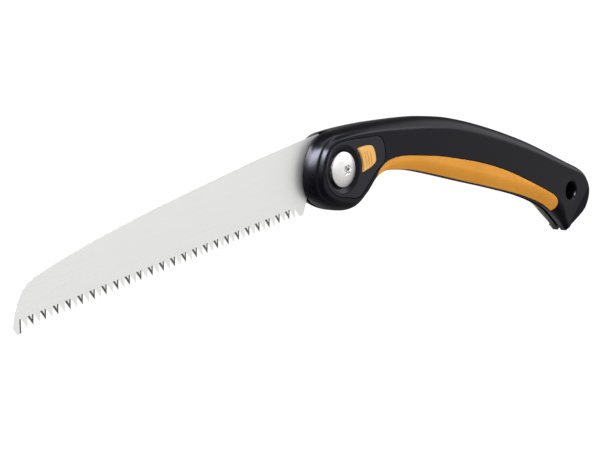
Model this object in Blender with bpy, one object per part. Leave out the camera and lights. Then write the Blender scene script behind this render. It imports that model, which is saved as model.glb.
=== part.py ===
"""Folding pruning saw, modelled as separate pieces in metres.

The blade is open and its tooth line runs along X. The handle's tail points to +X, +Z is up and the
flat end of the pivot nut, on the saw's right side, lies at Y = 0 with the pivot axis on X = Z = 0.
Outlines are written in millimetres as (x, z) from the pivot axis. Depths are in millimetres from the
middle of the blade's thickness, and side is -1 for the left half and +1 for the right half.
"""

import math

import bmesh
import bpy
from mathutils import Vector

MM = 0.001
GAP = 0.3
LEFT = -1
RIGHT = 1

# Handle
FACE_DEPTH = 12.0
SPLIT_DEPTH = 0.15
SLOT_DEPTH = 1.2
PLATE_DEPTH = 9.7
GRIP_THICKNESS = 2.5
GRIP_LIP = 3.2
ROUNDING_STEPS = 5
CROWN = 0.8

# Blade
BLADE_HALF_THICKNESS = 0.6
TOOTH_PITCH = 25.4 / 6
TOOTH_COUNT = 49
TOOTH_RAKE = 3.1
TIP_LINE = -20.2
GULLET_LINE = -14.7
LAST_GULLET = -32.9
TANG_RADIUS = 14.2
PIN_TRACK_RADIUS = 18.9
FOLD_ANGLE = 155.0

# Pivot
SLEEVE_RADIUS = 4.5
SHANK_RADIUS = 2.5
CAP_RADIUS = 10.2
CAP_UNDER_RADIUS = 8.8
CAP_DOME = 3.0
CAP_RECESS_RADIUS = 11.0
DISH_RADIUS = 14.0
DISH_DEPTH = 1.4
CAP_SEAT_DEPTH = 8.8
FLANGE_RADIUS = 10.0
FLANGE_FLAT = 8.5
NUT_FACE_DEPTH = 12.5
WASHER_RADIUS = 9.0
WAVE_HEIGHT = 1.4
STOP_PIN_CENTRE = (0.0, 16.5)
STOP_PIN_RADIUS = 2.0
STOP_PIN_DEPTH = 4.7

# Lock
LOCK_TRAVEL = 2.5
LOCK_PIN_RADIUS = 2.0
LOCK_PIN_X = TANG_RADIUS + LOCK_PIN_RADIUS + GAP
SLIDER_FRONT = 13.9
SLIDER_REAR = 33.0
SLIDER_HALF_HEIGHT = 5.0
SLIDER_NEAR = 1.6
SLIDER_FAR = 5.0
BUTTON_ARC_RADIUS = 15.9
BUTTON_PROUD = 1.6
STEM_FRONT = 18.8
STEM_REAR = 24.7
STEM_HALF_HEIGHT = 3.4
SPRING_DEPTH = 3.4
SPRING_MEAN_RADIUS = 1.7
SPRING_WIRE_RADIUS = 0.3
SPRING_REAR = 52.0
SPRING_TURNS = 8
GUIDE_RADIUS = 0.9

# Hanging hole and shell screws
HOLE_CENTRE = (221.4, -72.8)
HOLE_RADIUS = 5.7
HOLE_MOUTH_RADIUS = 7.9
SCREW_CENTRES = ((47.0, 7.0), (104.0, -7.0), (164.0, -32.5), (209.0, -56.5))
SCREW_HEAD_RADIUS = 3.3
SCREW_SHANK_RADIUS = 1.6

# Side view of the handle, clockwise: x, z, then how far its edge rounding reaches in and down
HANDLE_OUTLINE = (
    (-4.5, 21.7, 5.2, 10.5), (5.0, 21.9, 5.0, 10.5), (19.0, 20.9, 5.2, 10.5),
    (39.0, 18.6, 6.0, 10.5), (69.0, 13.9, 7.5, 10.5), (89.0, 9.7, 8.0, 10.5),
    (113.0, 2.8, 8.0, 10.5), (146.0, -10.6, 8.0, 10.5), (185.5, -29.9, 7.5, 10.5),
    (225.3, -53.5, 6.0, 9.5), (238.8, -62.9, 5.0, 8.0), (244.2, -70.4, 4.5, 7.5),
    (245.3, -77.5, 4.2, 7.0), (243.1, -84.0, 4.0, 7.0), (238.0, -89.8, 3.6, 7.0),
    (229.5, -95.5, 3.4, 7.0), (220.0, -100.5, 3.2, 7.0), (214.6, -92.8, 3.6, 8.0),
    (200.8, -78.8, 5.0, 9.5), (179.0, -65.9, 7.0, 10.5), (149.0, -52.4, 8.0, 10.5),
    (118.8, -39.8, 8.0, 10.5), (82.4, -24.5, 8.0, 10.5), (63.0, -17.4, 7.0, 10.5),
    (45.0, -13.5, 6.0, 10.5), (31.8, -15.1, 5.5, 10.5), (22.0, -21.8, 6.0, 10.5),
    (9.6, -27.0, 6.2, 10.5), (-3.1, -24.4, 6.5, 10.5), (-14.1, -19.3, 6.8, 10.5),
    (-21.6, -12.6, 7.0, 10.5), (-24.4, -3.6, 7.0, 10.5), (-21.8, 7.0, 7.0, 10.5),
    (-14.6, 17.0, 6.0, 10.5),
)
TAIL_CORNER = 16

# Teardrop cover plate, clockwise
PLATE_OUTLINE = (
    (-14.6, 3.5), (-10.4, 11.0), (-5.3, 14.8), (0.5, 15.9), (12.0, 14.8), (23.5, 13.0),
    (33.8, 11.3), (37.2, 8.2), (38.3, 2.6), (36.8, -4.4), (29.2, -8.0), (21.2, -13.3),
    (13.4, -18.5), (7.6, -19.2), (0.0, -16.6), (-7.4, -14.0), (-12.6, -9.4), (-15.1, -3.0),
)

# Upper edge of the soft grip from the head to the tail
GRIP_EDGE = (
    (23.0, -20.5), (26.6, -14.9), (30.6, -9.5), (37.5, -5.9), (46.0, -5.0), (56.6, -6.3), (68.9, -9.4),
    (88.6, -14.9), (108.2, -21.7), (127.9, -29.1), (152.5, -40.4), (177.1, -54.4),
    (196.8, -66.7), (203.4, -71.4),
)


def material(name, color, roughness, metallic=0.0):
    made = bpy.data.materials.new(name)
    made.use_nodes = True
    shader = made.node_tree.nodes["Principled BSDF"]
    shader.inputs["Base Color"].default_value = (*color, 1.0)
    shader.inputs["Roughness"].default_value = roughness
    shader.inputs["Metallic"].default_value = metallic
    return made


def finish(name, bm, owner, surface=None, smooth=None):
    """Turns a bmesh in millimetres into an object of the saw. With no surface it is a cutter."""
    bmesh.ops.scale(bm, vec=(MM, MM, MM), verts=bm.verts)
    bmesh.ops.recalc_face_normals(bm, faces=bm.faces)
    mesh = bpy.data.meshes.new(name)
    bm.to_mesh(mesh)
    bm.free()
    made = bpy.data.objects.new(name, mesh)
    bpy.context.collection.objects.link(made)
    made.parent = owner
    if surface is None:
        made.hide_render = True
        made.display_type = "WIRE"
    else:
        mesh.materials.append(surface)
    if smooth is not None:
        mesh.shade_smooth()
        mesh.set_sharp_from_angle(angle=math.radians(smooth))
    return made


def loft(rings, ring_closed=False):
    """Skins a list of rings of (x, y, z) points. The ends are faces unless the rings form a circle."""
    bm = bmesh.new()
    layers = [[bm.verts.new(point) for point in ring] for ring in rings]
    count = len(layers[0])
    spans = list(zip(layers, layers[1:]))
    if ring_closed:
        spans.append((layers[-1], layers[0]))
    else:
        bm.faces.new(layers[0])
        bm.faces.new(reversed(layers[-1]))
    for low, high in spans:
        for i in range(count):
            j = (i + 1) % count
            bm.faces.new((low[i], low[j], high[j], high[i]))
    return bm


def prism(outline, near, far):
    """An (x, z) outline carried through from depth near to depth far."""
    return loft([[(x, depth, z) for x, z in outline] for depth in (near, far)])


def arc(radius, start, end, steps, centre=(0.0, 0.0)):
    angles = [math.radians(start + (end - start) * k / steps) for k in range(steps + 1)]
    return [(centre[0] + radius * math.cos(a), centre[1] + radius * math.sin(a)) for a in angles]


def circle(radius, sides, centre=(0.0, 0.0)):
    return arc(radius, 0.0, 360.0, sides, centre)[:-1]


def turned(profile, sides, centre=(0.0, 0.0)):
    """A solid of revolution about a line along Y. The profile is a list of (radius, depth)."""
    rings = []
    for radius, depth in profile:
        rings.append([(x, depth, z) for x, z in circle(radius, sides, centre)])
    return loft(rings)


def ring(inner, outer, near, far, sides):
    profile = ((inner, near), (outer, near), (outer, far), (inner, far))
    rings = [[(x, depth, z) for x, z in circle(radius, sides)] for radius, depth in profile]
    return loft(rings, ring_closed=True)


def box(low, high):
    (x0, y0, z0), (x1, y1, z1) = low, high
    return prism([(x0, z0), (x0, z1), (x1, z1), (x1, z0)], y0, y1)


def smooth_loop(points, steps, corner=None):
    """A closed Catmull-Rom curve through the points, with at most one sharp corner."""
    count = len(points)
    vectors = [Vector(point) for point in points]
    loop = []
    for i in range(count):
        here = vectors[i]
        after = vectors[(i + 1) % count]
        before = 2 * here - after if i == corner else vectors[i - 1]
        beyond = 2 * after - here if (i + 1) % count == corner else vectors[(i + 2) % count]
        for k in range(steps):
            t = k / steps
            bend = (2 * before - 5 * here + 4 * after - beyond) * t * t
            twist = (3 * here - before - 3 * after + beyond) * t * t * t
            loop.append((2 * here + (after - before) * t + bend + twist) / 2)
    return loop


def inset(outline, amounts):
    """Moves each point of a clockwise outline inwards by its own amount. A negative one grows it."""
    moved = []
    count = len(outline)
    for i in range(count):
        here = Vector(outline[i][:2])
        before = (here - Vector(outline[i - 1][:2])).normalized()
        after = (Vector(outline[(i + 1) % count][:2]) - here).normalized()
        normal = Vector((before.y, -before.x)) + Vector((after.y, -after.x))
        scale = amounts[i] / (1 + before.dot(after))
        moved.append((here.x + normal.x * scale, here.y + normal.y * scale))
    return moved


def grown(outline, amount):
    return inset(outline, [-amount] * len(outline))


def cut(target, cutter, operation="DIFFERENCE"):
    modifier = target.modifiers.new(cutter.name, "BOOLEAN")
    modifier.operation = operation
    modifier.object = cutter


def handle_half(side, shrink=0.0):
    """Half of the handle's outer shape, rounded at its outer edge and shrunk evenly if asked."""
    outline = smooth_loop(HANDLE_OUTLINE, 3, TAIL_CORNER)
    edge = inset(outline, [shrink] * len(outline))
    rings = [[(x, side * SPLIT_DEPTH, z) for x, z in edge]]
    for step in range(ROUNDING_STEPS + 1):
        turn = math.radians(90.0 * step / ROUNDING_STEPS)
        reach = [point[2] * (1 - math.cos(turn)) ** CROWN + shrink for point in outline]
        depth = [FACE_DEPTH - shrink - point[3] * (1 - math.sin(turn)) for point in outline]
        rings.append([(x, side * d, z) for (x, z), d in zip(inset(outline, reach), depth)])
    return loft(rings)


def grip_area():
    """Side view of the part of the handle that the grip covers, clockwise, running off below it."""
    return [*GRIP_EDGE, (205.0, -75.2), (205.2, -80.0), (203.6, -86.0), (199.0, -110.0), (23.0, -110.0)]


def slot_area():
    """Side view of the space that the blade sweeps inside the handle, running off below it."""
    reach = PIN_TRACK_RADIUS + 0.6
    tip_side = [(31.5, 9.4), (223.6, -80.3), (227.0, -80.4), (233.5, -83.4), (235.5, -90.0),
                (233.5, -130.0)]
    return [(2.5, 30.0), *arc(reach, 82.0, 22.0, 8), *tip_side, (-60.0, -130.0), (-60.0, 30.0)]


def button_outline():
    """The thumb pad, clockwise. Its front edge is concentric with the pivot."""
    front = arc(BUTTON_ARC_RADIUS, 36.0, -20.0, 6)
    return [*front, (21.5, -4.6), (26.8, -2.8), (27.8, -1.4), (27.6, 3.0), (26.8, 6.4), (25.6, 7.8),
            (22.0, 8.9), (17.4, 9.3)]


def stem_window():
    """Room in the cover plate and the shell for the button's stem at both ends of its travel."""
    high = STEM_HALF_HEIGHT + GAP
    low_x, high_x = STEM_FRONT - LOCK_TRAVEL - GAP, STEM_REAR + GAP
    return [(low_x, -high), (low_x, high), (high_x, high), (high_x, -high)]


def plate_outline():
    return [(point.x, point.y) for point in smooth_loop([(x, z) for x, z in PLATE_OUTLINE], 2)]


def flange_outline(extra=0.0):
    """A round flange with a flat above and below, which keep the nut from turning."""
    radius = FLANGE_RADIUS + extra
    flat = math.degrees(math.asin((FLANGE_FLAT + extra) / radius))
    return [*arc(radius, -flat, flat, 10), *arc(radius, 180.0 - flat, 180.0 + flat, 10)]


def tooth_points():
    """Down to each tooth's tip and up to the gullet after it, from the nose to the heel."""
    points = []
    for k in range(TOOTH_COUNT):
        gullet = LAST_GULLET - TOOTH_PITCH * (TOOTH_COUNT - k)
        points.append((gullet, GULLET_LINE))
        points.append((gullet + TOOTH_RAKE, TIP_LINE))
    return points


def blade_outline():
    nose = [(-240.4, -4.9), (-243.6, -10.6), (-246.5, -18.0), (-244.5, -21.8), (-241.5, -21.8)]
    heel = [(LAST_GULLET, GULLET_LINE), (-30.2, -19.9), (-28.2, -20.8), (-26.4, -20.0), (-21.6, -11.6)]
    neck_below = arc(PIN_TRACK_RADIUS, 212.0, 189.0, 4)
    tang = arc(TANG_RADIUS, 189.0, 458.0, 40)
    back = [(-4.3, 20.4), (-4.6, 21.5), (-17.0, 21.5), (-37.0, 20.7), (-59.0, 19.7), (-87.0, 17.9),
            (-112.0, 16.1), (-137.0, 14.4), (-162.0, 12.1), (-187.0, 9.4), (-209.0, 6.5),
            (-228.0, 3.1), (-233.0, 1.5), (-237.2, -1.2)]
    return [*nose, *tooth_points(), *heel, *neck_below, *tang, *back]


def notch_outline(angle):
    """The lock pin's notch in the tang, a slot with a round end, at an angle about the pivot."""
    seat = LOCK_PIN_X - LOCK_TRAVEL
    slot = [*arc(LOCK_PIN_RADIUS + GAP, 90.0, 270.0, 12, (seat, 0.0)),
            (LOCK_PIN_X, -LOCK_PIN_RADIUS - GAP), (LOCK_PIN_X, LOCK_PIN_RADIUS + GAP)]
    cos, sin = math.cos(math.radians(angle)), math.sin(math.radians(angle))
    return [(x * cos - z * sin, x * sin + z * cos) for x, z in slot]


def clear_scene():
    for old in list(bpy.data.objects):
        bpy.data.objects.remove(old)


def empty(name, location, owner=None):
    made = bpy.data.objects.new(name, None)
    bpy.context.collection.objects.link(made)
    made.parent = owner
    made.location = location
    return made


def grip_cutter(name, side, frame, grow):
    """The grip's own volume, or with grow the slightly larger recess that it lies in."""
    inner = finish(name + "_core", handle_half(side, GRIP_THICKNESS + grow), frame)
    area = grown(grip_area(), grow)
    shape = prism(area, side * (GRIP_LIP - grow), side * (FACE_DEPTH + 2.0))
    made = finish(name, shape, frame)
    cut(made, inner)
    return made


def screw_holes(side, frame):
    cutters = []
    for number, centre in enumerate(SCREW_CENTRES, 1):
        clear = SCREW_SHANK_RADIUS + GAP
        if side == RIGHT:
            head = SCREW_HEAD_RADIUS + GAP
            profile = ((clear, 0.0), (clear, 9.0), (head, 9.0), (head, FACE_DEPTH + 1.0))
        else:
            profile = ((clear, 0.0), (clear, -7.3))
        cutters.append(finish(f"cut_screw_{number}_{side}", turned(profile, 20, centre), frame))
    return cutters


def hanging_hole(side, frame):
    straight = FACE_DEPTH + HOLE_RADIUS - HOLE_MOUTH_RADIUS
    profile = ((HOLE_RADIUS, 0.0), (HOLE_RADIUS, side * straight),
               (HOLE_MOUTH_RADIUS + 1.0, side * (FACE_DEPTH + 1.0)))
    return finish(f"cut_hanging_hole_{side}", turned(profile, 32, HOLE_CENTRE), frame)


def pivot_bores(side, frame):
    bore = finish(f"cut_bore_{side}", turned(((SLEEVE_RADIUS + GAP, 0.0),
                  (SLEEVE_RADIUS + GAP, side * FACE_DEPTH)), 32), frame)
    washer = finish(f"cut_washer_{side}", turned(((WASHER_RADIUS + GAP, 0.0),
                    (WASHER_RADIUS + GAP, side * 1.8)), 32), frame)
    stop = finish(f"cut_stop_{side}", turned(((STOP_PIN_RADIUS + GAP, 0.0),
                  (STOP_PIN_RADIUS + GAP, side * (STOP_PIN_DEPTH + GAP))), 20, STOP_PIN_CENTRE), frame)
    return [bore, washer, stop]


def lock_space(frame):
    """Pocket for the slider, the spring and its guide, and the window for the button, all on the left."""
    high = SLIDER_HALF_HEIGHT + GAP
    front = SLIDER_FRONT - LOCK_TRAVEL - GAP
    rear = SLIDER_REAR + GAP
    slider = box((front, -SLIDER_FAR - GAP, -high), (rear, 0.0, high))
    reach = SPRING_MEAN_RADIUS + SPRING_WIRE_RADIUS + GAP
    spring = box((rear - 1.0, -SPRING_DEPTH - reach, -reach), (SPRING_REAR + GAP, 0.0, reach))
    bore = along_x([(GUIDE_RADIUS + GAP, SPRING_REAR), (GUIDE_RADIUS + GAP, 56.3)], 12, -SPRING_DEPTH)
    window = prism(stem_window(), -SLIDER_FAR, -FACE_DEPTH - 1.0)
    shapes = {"slider": slider, "spring": spring, "guide": bore, "window": window}
    return [finish("cut_lock_" + name, shape, frame) for name, shape in shapes.items()]


def along_x(profile, sides, depth):
    """A solid of revolution about a line along X at the given depth, as (radius, x) points."""
    rings = []
    for radius, x in profile:
        rings.append([(x, depth + y, z) for y, z in circle(radius, sides)])
    return loft(rings)


def build_shell(name, side, frame, surface):
    shell = finish(name, handle_half(side), frame, surface, smooth=35.0)
    slot = prism(slot_area(), 0.0, side * SLOT_DEPTH)
    recess = prism(grown(plate_outline(), 0.35), side * (PLATE_DEPTH - GAP), side * (FACE_DEPTH + 1.0))
    cutters = [grip_cutter(f"cut_grip_{side}", side, frame, GAP),
               finish(f"cut_slot_{side}", slot, frame),
               finish(f"cut_plate_{side}", recess, frame)]
    cutters += [*pivot_bores(side, frame), *screw_holes(side, frame), hanging_hole(side, frame)]
    if side == LEFT:
        seat = ((CAP_RECESS_RADIUS, -CAP_SEAT_DEPTH), (CAP_RECESS_RADIUS, -FACE_DEPTH - 1.0))
        cutters += [finish("cut_cap_seat", turned(seat, 40), frame), *lock_space(frame)]
    else:
        low, high = LOCK_PIN_X - LOCK_TRAVEL - 2.3, LOCK_PIN_X + 2.3
        track = box((low, 0.0, -2.3), (high, 3.6, 2.3))
        cutters.append(finish("cut_pin_track", track, frame))
    for cutter in cutters:
        cut(shell, cutter)


def build_grip(name, side, frame, surface):
    grip = finish(name, handle_half(side), frame, surface, smooth=35.0)
    cut(grip, grip_cutter(f"keep_grip_{side}", side, frame, 0.0), "INTERSECT")


def build_left_plate(frame, surface):
    plate = prism(plate_outline(), -PLATE_DEPTH, -FACE_DEPTH)
    plate = finish("left_cover_plate", plate, frame, surface)
    flare = (DISH_RADIUS - CAP_RECESS_RADIUS) / DISH_DEPTH
    dish = ((CAP_RECESS_RADIUS, -PLATE_DEPTH + 1.0), (CAP_RECESS_RADIUS, -FACE_DEPTH + DISH_DEPTH),
            (DISH_RADIUS + flare, -FACE_DEPTH - 1.0))
    cut(plate, finish("cut_plate_dish", turned(dish, 40), frame))
    window = prism(stem_window(), -PLATE_DEPTH + 1.0, -FACE_DEPTH - 1.0)
    cut(plate, finish("cut_plate_window", window, frame))


def build_right_plate(frame, surface):
    plate = finish("right_cover_plate", prism(plate_outline(), PLATE_DEPTH, FACE_DEPTH), frame, surface)
    seat = prism(flange_outline(GAP), PLATE_DEPTH - 1.0, FACE_DEPTH + 1.0)
    cut(plate, finish("cut_plate_flange", seat, frame))


def build_pivot(frame, steel):
    """Domed screw from the left, sleeve nut from the right, and the washers between them."""
    under_head = CAP_SEAT_DEPTH + WAVE_HEIGHT + 2 * GAP
    dome_radius = (CAP_RADIUS ** 2 + CAP_DOME ** 2) / (2 * CAP_DOME)
    widest = math.asin(CAP_RADIUS / dome_radius)
    profile = [(SHANK_RADIUS, 7.7), (SHANK_RADIUS, -under_head), (CAP_UNDER_RADIUS, -under_head)]
    for step in range(7):
        angle = widest * (1 - step / 7)
        rise = dome_radius * (math.cos(angle) - math.cos(widest))
        profile.append((dome_radius * math.sin(angle), -FACE_DEPTH - rise))
    screw = finish("pivot_screw", turned(profile, 40), frame, steel, smooth=30.0)
    lobes = []
    for k in range(24):
        turn = math.tau * k / 24
        reach = 2.3 + 0.4 * math.cos(6 * turn)
        lobes.append((reach * math.cos(turn), reach * math.sin(turn)))
    cut(screw, finish("cut_screw_socket", prism(lobes, -FACE_DEPTH, -20.0), frame))

    nut = prism(flange_outline(), PLATE_DEPTH, NUT_FACE_DEPTH)
    nut = finish("pivot_nut", nut, frame, steel, smooth=30.0)
    sleeve = turned(((SLEEVE_RADIUS, PLATE_DEPTH + 1.0), (SLEEVE_RADIUS, -8.2)), 32)
    cut(nut, finish("join_sleeve", sleeve, frame), "UNION")
    bore = turned(((SHANK_RADIUS + GAP, 8.0), (SHANK_RADIUS + GAP, -9.0)), 24)
    cut(nut, finish("cut_sleeve_bore", bore, frame))

    for name, side in (("washer_left", LEFT), ("washer_right", RIGHT)):
        near = side * (BLADE_HALF_THICKNESS + GAP)
        washer = ring(SLEEVE_RADIUS + GAP, WASHER_RADIUS, near, side * 1.5, 32)
        finish(name, washer, frame, steel, smooth=30.0)
    spring = ring(SHANK_RADIUS + 0.5, 9.5, -CAP_SEAT_DEPTH - GAP,
                  -CAP_SEAT_DEPTH - GAP - WAVE_HEIGHT, 32)
    finish("wave_washer", spring, frame, steel, smooth=30.0)
    stop = turned(((STOP_PIN_RADIUS, -STOP_PIN_DEPTH), (STOP_PIN_RADIUS, STOP_PIN_DEPTH)), 20,
                  STOP_PIN_CENTRE)
    finish("stop_pin", stop, frame, steel, smooth=30.0)


def build_blade(frame, surface):
    shape = prism(blade_outline(), -BLADE_HALF_THICKNESS, BLADE_HALF_THICKNESS)
    blade = finish("blade", shape, frame, surface)
    through = (-BLADE_HALF_THICKNESS - 1.0, BLADE_HALF_THICKNESS + 1.0)
    cut(blade, finish("cut_tang_bore", prism(circle(SLEEVE_RADIUS + GAP, 32), *through), frame))
    cut(blade, finish("cut_notch_open", prism(notch_outline(0.0), *through), frame))
    cut(blade, finish("cut_notch_folded", prism(notch_outline(-FOLD_ANGLE), *through), frame))


def lock_piece(name, shape, carriage, surface=None, smooth=None):
    """A piece of the lock. Its shape is in the handle's frame and its origin on the lock pin."""
    bmesh.ops.translate(shape, vec=(-LOCK_PIN_X, 0.0, 0.0), verts=shape.verts)
    return finish(name, shape, carriage, surface, smooth)


def build_lock(frame, orange, steel):
    carriage = empty("lock_carriage", (LOCK_PIN_X * MM, 0.0, 0.0), frame)
    high = SLIDER_HALF_HEIGHT
    plate = box((SLIDER_FRONT, -SLIDER_FAR, -high), (SLIDER_REAR, -SLIDER_NEAR, high))
    slider = lock_piece("lock_slider", plate, carriage, steel)
    seat = LOCK_PIN_RADIUS + GAP
    hole = turned(((seat, 0.0), (seat, -SLIDER_FAR - 1.0)), 24, (LOCK_PIN_X, 0.0))
    cut(slider, lock_piece("cut_slider_hole", hole, carriage))
    pin = turned(((LOCK_PIN_RADIUS, -SLIDER_FAR), (LOCK_PIN_RADIUS, 3.2)), 24, (LOCK_PIN_X, 0.0))
    lock_piece("lock_pin", pin, carriage, steel, smooth=30.0)

    pad_edge = ((0.0, GAP), (0.0, BUTTON_PROUD - 0.7), (0.3, BUTTON_PROUD - 0.3), (0.9, BUTTON_PROUD))
    rings = []
    for taper, rise in pad_edge:
        rings.append([(x, -FACE_DEPTH - rise, z) for x, z in grown(button_outline(), -taper)])
    button = lock_piece("lock_button", loft(rings), carriage, orange)
    stem = box((STEM_FRONT, -FACE_DEPTH - BUTTON_PROUD / 2, -STEM_HALF_HEIGHT),
               (STEM_REAR, -SLIDER_FAR - GAP, STEM_HALF_HEIGHT))
    cut(button, lock_piece("join_stem", stem, carriage), "UNION")


def build_spring(frame, steel):
    """Compression spring between the slider and the end of its pocket, round a guide rod."""
    front = SLIDER_REAR + GAP + SPRING_WIRE_RADIUS
    rear = SPRING_REAR - SPRING_WIRE_RADIUS
    steps = 12 * SPRING_TURNS
    rings = []
    for k in range(steps + 1):
        turn = math.tau * k / 12
        out = Vector((0.0, math.cos(turn), math.sin(turn)))
        middle = Vector((front + (rear - front) * k / steps, -SPRING_DEPTH, 0.0))
        middle += out * SPRING_MEAN_RADIUS
        section = []
        for y, z in circle(SPRING_WIRE_RADIUS, 6):
            section.append(middle + out * y + Vector((z, 0.0, 0.0)))
        rings.append(section)
    finish("lock_spring", loft(rings), frame, steel, smooth=60.0)
    guide = along_x([(GUIDE_RADIUS, 38.0), (GUIDE_RADIUS, 56.0)], 12, -SPRING_DEPTH)
    finish("spring_guide", guide, frame, steel, smooth=30.0)


def build_shell_screws(frame, steel):
    """Pan head screws put in from the right side, sunk below its face."""
    for number, centre in enumerate(SCREW_CENTRES, 1):
        profile = ((SCREW_SHANK_RADIUS, -7.0), (SCREW_SHANK_RADIUS, 9.3), (SCREW_HEAD_RADIUS, 9.3),
                   (SCREW_HEAD_RADIUS, 10.6), (SCREW_HEAD_RADIUS - 0.8, 11.2))
        screw = finish(f"shell_screw_{number}", turned(profile, 20, centre), frame, steel, smooth=30.0)
        socket = prism(circle(1.5, 6, centre), 9.9, 12.0)
        cut(screw, finish(f"cut_shell_screw_{number}", socket, frame))


def main():
    clear_scene()
    black = material("black_shell", (0.022, 0.022, 0.027), 0.38)
    charcoal = material("charcoal_plate", (0.035, 0.036, 0.042), 0.5)
    orange = material("orange_grip", (0.73, 0.29, 0.028), 0.6)
    button_orange = material("orange_button", (0.85, 0.42, 0.07), 0.4)
    blade_steel = material("blade_steel", (0.72, 0.72, 0.71), 0.35, 1.0)
    steel = material("satin_steel", (0.62, 0.61, 0.6), 0.28, 1.0)

    frame = empty("saw_frame", (0.0, -NUT_FACE_DEPTH * MM, 0.0))
    for word, side in (("left", LEFT), ("right", RIGHT)):
        build_shell(word + "_shell", side, frame, black)
        build_grip(word + "_grip", side, frame, orange)
    build_left_plate(frame, charcoal)
    build_right_plate(frame, charcoal)
    build_pivot(frame, steel)
    build_blade(frame, blade_steel)
    build_lock(frame, button_orange, steel)
    build_spring(frame, steel)
    build_shell_screws(frame, steel)


main()
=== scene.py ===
import math

import bmesh
import bpy
from mathutils import Matrix, Vector


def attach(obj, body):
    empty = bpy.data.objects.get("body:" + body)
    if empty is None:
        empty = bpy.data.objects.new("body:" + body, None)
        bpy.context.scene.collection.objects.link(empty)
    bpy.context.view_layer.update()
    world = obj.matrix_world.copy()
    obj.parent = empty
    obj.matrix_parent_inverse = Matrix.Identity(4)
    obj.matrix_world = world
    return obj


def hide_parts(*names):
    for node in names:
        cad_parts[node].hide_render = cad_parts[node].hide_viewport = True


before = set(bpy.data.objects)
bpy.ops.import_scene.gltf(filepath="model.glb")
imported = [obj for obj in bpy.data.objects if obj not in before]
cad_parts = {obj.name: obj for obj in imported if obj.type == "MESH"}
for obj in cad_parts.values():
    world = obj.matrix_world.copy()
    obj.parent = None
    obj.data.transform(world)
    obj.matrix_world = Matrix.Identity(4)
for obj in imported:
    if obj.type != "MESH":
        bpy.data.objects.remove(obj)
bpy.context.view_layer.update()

# Outlines are in millimetres as (x, z) from the pivot axis. Depths are in millimetres from the middle
# of the blade's thickness, and side is -1 for the left half and +1 for the right half.
MM = 0.001
GAP = 0.3
OVERCUT = 1.0
LEFT = -1
RIGHT = 1
NUT_FACE_DEPTH = 12.5

# Handle
FACE_DEPTH = 12.0
SPLIT_DEPTH = 0.15
SLOT_DEPTH = 1.2
PLATE_DEPTH = 9.7
GRIP_THICKNESS = 2.5
GRIP_LIP = 4.4
CROWN = 0.8
OUTLINE_STEPS = 10
ROUNDING_STEPS = 20
PLATE_CLEARANCE = 0.35

# Back and tail end of the blade's slot, running off below the handle
SLOT_REAR = (
    (31.5, 9.4), (223.6, -80.3), (227.0, -80.4), (233.5, -83.4), (235.5, -90.0), (233.5, -130.0),
)

# Blade
BLADE_HALF_THICKNESS = 0.6
TOOTH_PITCH = 25.4 / 6
TOOTH_COUNT = 49
TOOTH_RAKE = 3.1
TIP_LINE = -20.2
GULLET_LINE = -14.7
LAST_GULLET = -32.9
TANG_RADIUS = 14.2
PIN_TRACK_RADIUS = 18.9
FOLD_ANGLE = 155.0
BEVEL_DEPTH = 0.3
FRONT_BEVEL = 1.1
REAR_BEVEL = 1.25
BEVEL_RISE = 0.1

# Pivot
SLEEVE_RADIUS = 4.5
SHANK_RADIUS = 2.5
CAP_RADIUS = 10.2
CAP_UNDER_RADIUS = 8.8
CAP_DOME = 3.0
CAP_RECESS_RADIUS = 11.0
DISH_RADIUS = 14.0
DISH_DEPTH = 1.4
CAP_SEAT_DEPTH = 8.8
FLANGE_RADIUS = 10.0
FLANGE_FLAT = 8.5
WASHER_RADIUS = 9.0
WASHER_SEAT_DEPTH = 1.8
WAVE_HEIGHT = 1.4
STOP_PIN_CENTRE = (0.0, 16.5)
STOP_PIN_RADIUS = 2.0
STOP_PIN_DEPTH = 4.7
CAP_DOME_STEPS = 24
CAP_EDGE = 0.12
CAP_SHANK_END = 7.7
SOCKET_RADIUS = 2.6
SOCKET_DEPTH = 3.6
NUT_EDGE = 0.35
NUT_GROOVE_RADII = (6.2, 6.7)
NUT_GROOVE_DEPTH = 0.25
NUT_SLEEVE_END = -8.2

# Lock
LOCK_TRAVEL = 2.5
LOCK_PIN_RADIUS = 2.0
LOCK_PIN_X = TANG_RADIUS + LOCK_PIN_RADIUS + GAP
SLIDER_FRONT = 13.9
SLIDER_REAR = 33.0
SLIDER_HALF_HEIGHT = 5.0
SLIDER_FAR = 5.0
BUTTON_ARC_RADIUS = 15.9
BUTTON_PROUD = 1.6
STEM_FRONT = 18.8
STEM_REAR = 24.7
STEM_HALF_HEIGHT = 3.4
SPRING_DEPTH = 3.4
SPRING_REAR = 52.0
SPRING_SPACE = 2.3
GUIDE_SPACE = 1.2
GUIDE_REAR = 56.3
LOCK_PIN_POCKET = 3.6
BUTTON_TOP_CORNER = (17.4, 9.3)
BUTTON_REAR = (
    (21.5, -4.6), (26.0, -3.1), (27.6, -1.4), (27.8, 1.6), (27.3, 4.6), (26.3, 7.2), (24.4, 8.4), (20.6, 9.1),
)
BUTTON_RIBS = ((18.9, 19.0, -14.0), (21.2, 17.0, -11.0), (23.5, 15.0, -8.0))
RIB_STEPS = 20
RIB_PROFILE = (
    (-0.55, -0.25), (-0.42, 0.02), (-0.20, 0.32), (0.20, 0.32), (0.42, 0.02), (0.55, -0.25),
)

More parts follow.
